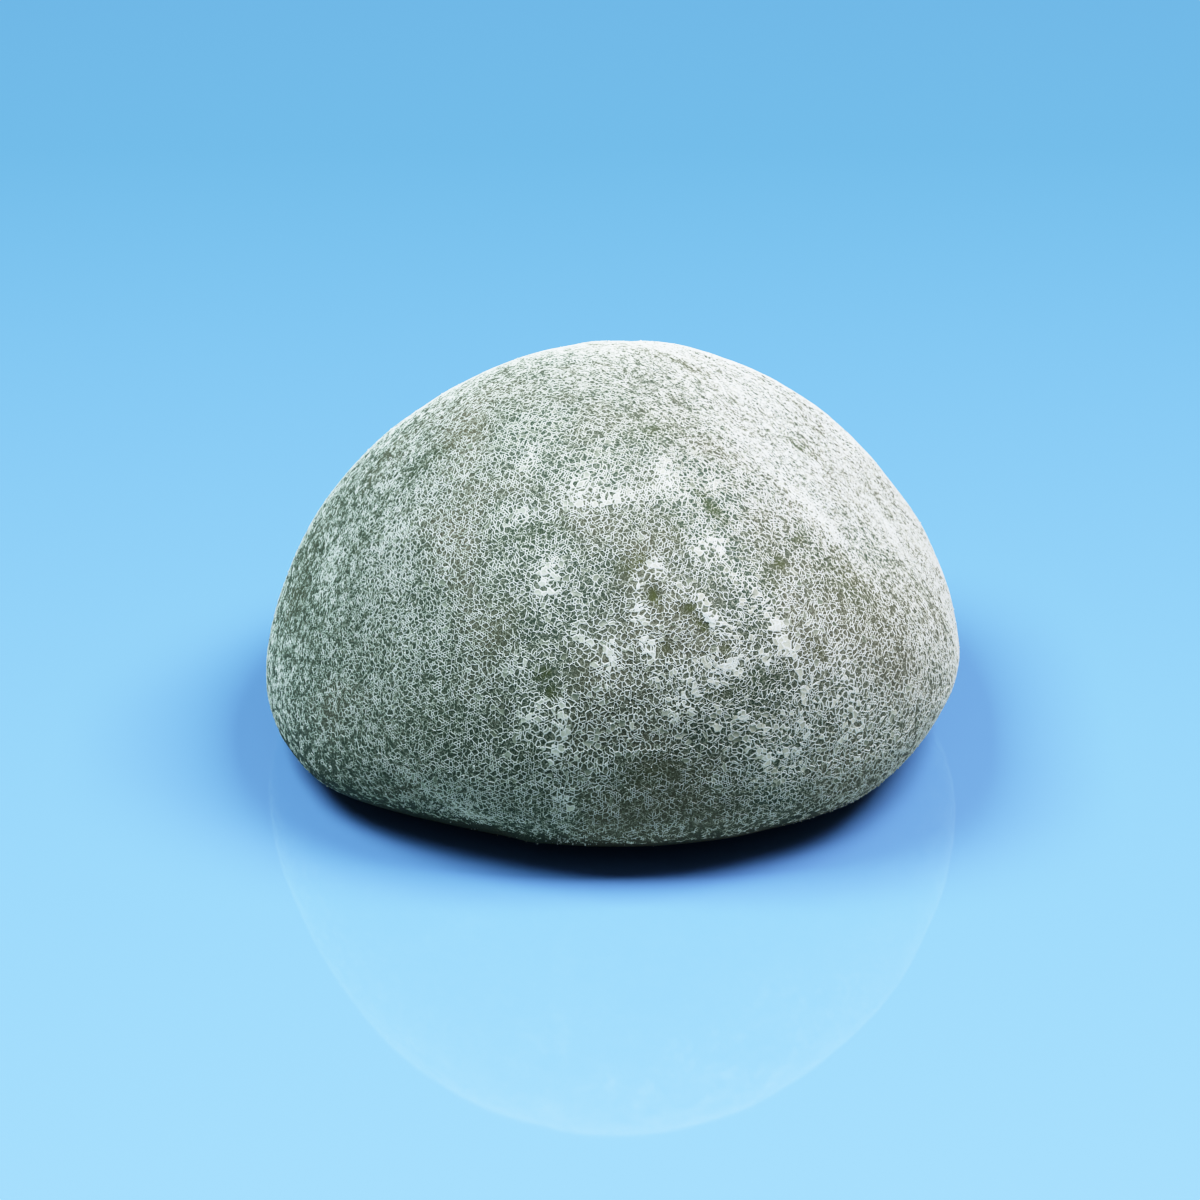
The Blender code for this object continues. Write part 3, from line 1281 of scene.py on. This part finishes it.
    def floor_amount(self, filling: Filling, here: float, random: np.random.Generator) -> float:
        """Say how thick the starch on a cell's floor is.

        Args:
            filling: What stands in the cell.
            here: The cover round it.
            random: Where the unevenness is drawn from.

        Returns:
            The floor's thickness, as a share of a full crust.
        """
        floor = filling.value
        if filling is Filling.BARE:
            return floor.least
        amount = floor.gain * here + floor.change + random.normal(0.0, self.cell_scatter)
        return min(max(amount, floor.least), floor.most)

    def lift(self, mesh: bpy.types.Mesh, skin: Skin) -> None:
        """Set every vertex at its level above the skin, and give the band its own texture map.

        Args:
            mesh: One band, whose level and cover are used up.
            skin: The dough's surface.
        """
        ways = places_of(mesh) - np.array(HEART)
        ways /= np.linalg.norm(ways, axis=1)[:, None]
        landed, normals = skin.land(ways)
        set_places(mesh, landed + normals * take_amounts(mesh, "level")[:, None])
        mesh.attributes.remove(mesh.attributes["cover"])
        self.map_band(mesh, ways)

    def map_band(self, mesh: bpy.types.Mesh, ways: np.ndarray) -> None:
        """Spread a band round the middle of its texture, its upper rim inside and its lower rim outside.

        Args:
            mesh: One band.
            ways: The direction of each of its vertices from the heart.
        """
        polar = np.arccos(np.clip(ways[:, 2], -1.0, 1.0))
        first, last = polar.min(), polar.max()
        inner = 0.0 if first < CROWN_CAP else MAP_HOLE
        radius = inner + (MAP_HALF - inner) * (polar - first) / (last - first)
        turn = np.arctan2(ways[:, 1], ways[:, 0])
        spots = 0.5 + radius[:, None] * np.stack((np.cos(turn), np.sin(turn)), axis=1)
        set_bake_map(mesh, spots[corners_of(mesh)])

    def build(self, skin: Skin, starch: StarchMap, random: np.random.Generator) -> list[bpy.types.Mesh]:
        """Make the whole crust.

        Args:
            skin: The dough's surface.
            starch: Where the starch lies.
            random: Where all unevenness is drawn from.

        Returns:
            One mesh for each band, from the foot up.
        """
        net = self.net_of_cells()
        self.disturb(net, random)
        self.run_together(net, random)
        self.outline_groups(net, skin, random)
        flat_net = self.lay_on(net, skin, starch, random)
        return [self.raise_ridges(self.band_of(flat_net, band), skin, random) for band in range(self.bands)]


@dataclass(frozen=True)
class CrumbRun:
    """A run along the lower edge where crumbs of starch have gathered, in degrees."""

    turn: float
    tilt: float
    turn_spread: float
    tilt_spread: float
    share: float  # of all crumbs


@dataclass
class StarchGrains:
    """Loose grains and crumbs of starch that cling to the cake."""

    grains: int = 2400
    crumbs: int = 900
    grain_radius: tuple[float, float] = (0.025 * MM, 0.070 * MM)
    crumb_radius: tuple[float, float] = (0.035 * MM, 0.075 * MM)
    shapes: tuple[float, float] = (0.7, 1.3)       # how far a lump is from round
    sunk: float = 0.5                              # its centre's height above the skin, in radii
    thickness: float = 0.9
    anywhere: float = 0.12                         # share of grains that lie where there is no starch
    thick_enough: tuple[float, float] = (0.3, 1.0)  # cover from which, and at which, the others lie
    lowest: float = -0.2                           # of a direction, where 1 is straight up
    runs: tuple[CrumbRun, ...] = (
        CrumbRun(-119, -2, 4, 1.6, 0.3),
        CrumbRun(-99, -6, 3, 1.5, 0.1),
        CrumbRun(-38, -6, 9, 2.0, 0.25),
        CrumbRun(60, 0, 60, 4.0, 0.35),
    )

    def scatter(
        self,
        count: int,
        radii: tuple[float, float],
        at: np.ndarray,
        skin: Skin,
        random: np.random.Generator,
    ) -> bpy.types.Mesh:
        """Set small lumps on the skin.

        Args:
            count: How many lumps.
            radii: Smallest and largest radius.
            at: Directions to choose from, one a row.
            skin: The dough's surface.
            random: Where sizes and turns are drawn from.

        Returns:
            All lumps in one mesh.
        """
        points, normals = skin.land(at[:count])
        lumps = bmesh.new()
        for point, normal in zip(points.tolist(), normals.tolist()):
            radius = radii[0] + (radii[1] - radii[0]) * random.random() ** 2
            shape = Matrix.Diagonal(Vector(random.uniform(*self.shapes, 3).tolist())).to_4x4()
            spin = Matrix.Rotation(random.uniform(0, math.tau), 4, Vector(random.normal(size=3).tolist()))
            place = Matrix.Translation(Vector(point) + Vector(normal) * radius * self.sunk)
            bmesh.ops.create_icosphere(lumps, subdivisions=1, radius=radius, matrix=place @ spin @ shape)
        mesh = finish_mesh(lumps, "starch_lumps")
        set_amounts(mesh, "thickness", np.full(len(mesh.vertices), self.thickness))
        return mesh

    def over_the_cake(self, skin: Skin, starch: StarchMap, random: np.random.Generator) -> np.ndarray:
        """Draw directions all over the cake, most of them where the starch is thick.

        Args:
            skin: The dough's surface.
            starch: Where the starch lies.
            random: Where the directions are drawn from.

        Returns:
            One direction a row, more of them than there are grains.
        """
        ways = random.normal(size=(self.grains * 8, 3))
        ways /= np.linalg.norm(ways, axis=1)[:, None]
        ways = ways[ways[:, 2] > self.lowest]
        cover = starch.cover(skin.land(ways)[0])
        chance = self.anywhere + (1.0 - self.anywhere) * smooth_step(cover, *self.thick_enough)
        return ways[random.random(len(ways)) < chance]

    def along_the_foot(self, random: np.random.Generator) -> np.ndarray:
        """Draw directions along the lower edge, in the runs where crumbs have gathered.

        Args:
            random: Where the directions are drawn from.

        Returns:
            One direction a row.
        """
        ways = []
        for run in self.runs:
            for _ in range(int(self.crumbs * run.share)):
                turn = random.normal(run.turn, run.turn_spread)
                ways.append(heading(turn, random.normal(run.tilt, run.tilt_spread)))
        return np.array(ways)


@dataclass(frozen=True)
class Softbox:
    """A square soft light that faces the cake."""

    name: str
    place: tuple[float, float, float]
    watts: float
    colour: str
    side: float = 0.30

    def hang(self) -> None:
        """Put the light in the scene."""
        light = bpy.data.lights.new(self.name, "AREA")
        light.size = self.side
        light.energy = self.watts
        light.color = to_linear(self.colour)[:3]
        lamp = bpy.data.objects.new(self.name, light)
        bpy.context.scene.collection.objects.link(lamp)
        lamp.location = self.place
        lamp.rotation_euler = (HEART - lamp.location).to_track_quat("-Z", "Y").to_euler()


@dataclass
class Studio:
    """The pale table, the lights, the camera and its film."""

    look_down: float = 26.0   # degrees
    distance: float = 0.45
    field: float = 0.084925   # width of what the camera sees at that distance
    sensor: float = 36.0      # millimetres
    aim: tuple[float, float, float] = (-0.00089, 0.0, 0.00984)
    table_radius: float = 1.6
    softboxes: tuple[Softbox, ...] = (
        Softbox("right_softbox", (0.30, 0.00, 0.52), 6.1, "FAFCFF"),
        Softbox("left_softbox", (-0.30, 0.00, 0.52), 5.3, "F2FFFF"),
    )
    room_colour: str = "E4F4F8"
    room_strength: float = 0.15
    brightest: float = 4.0    # the film tells light apart up to here
    film_speed: float = 1.2
    film_contrast: float = 1.4

    def camera(self) -> None:
        """Set up the camera, level and looking down at the cake."""
        lens = bpy.data.cameras.new("camera")
        camera = bpy.data.objects.new("camera", lens)
        bpy.context.scene.collection.objects.link(camera)
        down = math.radians(self.look_down)
        camera.location = Vector(self.aim) + Vector((0, -math.cos(down), math.sin(down))) * self.distance
        camera.rotation_euler = (math.pi / 2 - down, 0, 0)
        lens.sensor_width = self.sensor
        lens.lens = lens.sensor_width * self.distance / self.field
        bpy.context.scene.camera = camera

    def table(self) -> bpy.types.Object:
        """Lay the table top under the cake.

        Returns:
            The table's object.
        """
        work = bmesh.new()
        bmesh.ops.create_circle(work, cap_ends=True, segments=96, radius=self.table_radius)
        return show("background_card", finish_mesh(work, "background_card"), GradedCard().material())

    def air(self) -> None:
        """Fill the room with even, faintly blue light."""
        world = bpy.data.worlds.new("room")
        world.use_nodes = True
        background = world.node_tree.nodes["Background"]
        background.inputs["Color"].default_value = to_linear(self.room_colour)
        background.inputs["Strength"].default_value = self.room_strength
        bpy.context.scene.world = world

    def film(self) -> None:
        """Give the camera a film that keeps detail in the whites, as each step of light adds less."""
        view = bpy.context.scene.view_settings
        view.view_transform = "Standard"
        view.use_curve_mapping = True
        view.curve_mapping.white_level = (self.brightest,) * 3
        curve = view.curve_mapping.curves[3]
        for share in (0.01, 0.03, 0.06, 0.11, 0.19, 0.30, 0.46, 0.68):
            curve.points.new(share, self.response(share))
        curve.points[-1].location = (1.0, self.response(1.0))
        view.curve_mapping.update()

    def response(self, share: float) -> float:
        """Tell how bright the film shows a share of the brightest light."""
        return 1.0 - math.exp(-((self.film_speed * self.brightest * share) ** self.film_contrast))

    def build(self) -> None:
        """Set up the whole studio round the cake."""
        self.camera()
        for softbox in self.softboxes:
            softbox.hang()
        self.air()
        self.film()
        self.table()
        log.info("studio: %d softboxes, the table and the camera", len(self.softboxes))


def add_starch(name: str, mesh: bpy.types.Mesh, material: bpy.types.Material) -> None:
    """Show one piece of starch, which goes wherever the cake goes.

    Args:
        name: The piece's name.
        mesh: Its mesh.
        material: The starch.
    """
    piece = show(name, mesh, material)
    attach(piece, CAKE_BODY)
    log.info("%s: %d faces", name, len(mesh.polygons))


def add_dough(mesh: bpy.types.Mesh, starch: StarchMap) -> None:
    """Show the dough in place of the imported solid, tinted by the starch that lies on it.

    Args:
        mesh: The dough's mesh.
        starch: Where the starch lies.
    """
    points = places_of(mesh)
    set_amounts(mesh, "cover", starch.cover(points))
    set_amounts(mesh, "rubbed", np.clip(starch.rubbed(points), 0.0, 1.0))
    dough = show("dough", mesh, RiceDough().material())
    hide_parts(CAKE_NODE)
    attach(dough, CAKE_BODY)
    log.info("dough: %d faces", len(mesh.polygons))


def main() -> None:
    """Build the cake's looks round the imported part."""
    logging.basicConfig(level=logging.INFO, format="%(name)s: %(message)s")
    random = np.random.default_rng(SEED)
    noise.seed_set(SEED)
    body = DoughBody().build()
    skin = Skin(body)
    starch = StarchMap(skin)
    add_dough(body, starch)
    chalk = DriedStarch().material()
    for number, mesh in enumerate(StarchCrust().build(skin, starch, random), start=1):
        add_starch(f"starch_net_{number}", mesh, chalk)
    loose = StarchGrains()
    everywhere = loose.over_the_cake(skin, starch, random)
    grains = loose.scatter(loose.grains, loose.grain_radius, everywhere, skin, random)
    add_starch("starch_grains", grains, chalk)
    low_edge = loose.along_the_foot(random)
    crumbs = loose.scatter(loose.crumbs, loose.crumb_radius, low_edge, skin, random)
    add_starch("starch_crumbs", crumbs, chalk)
    Studio().build()


if __name__ == "__main__":
    main()
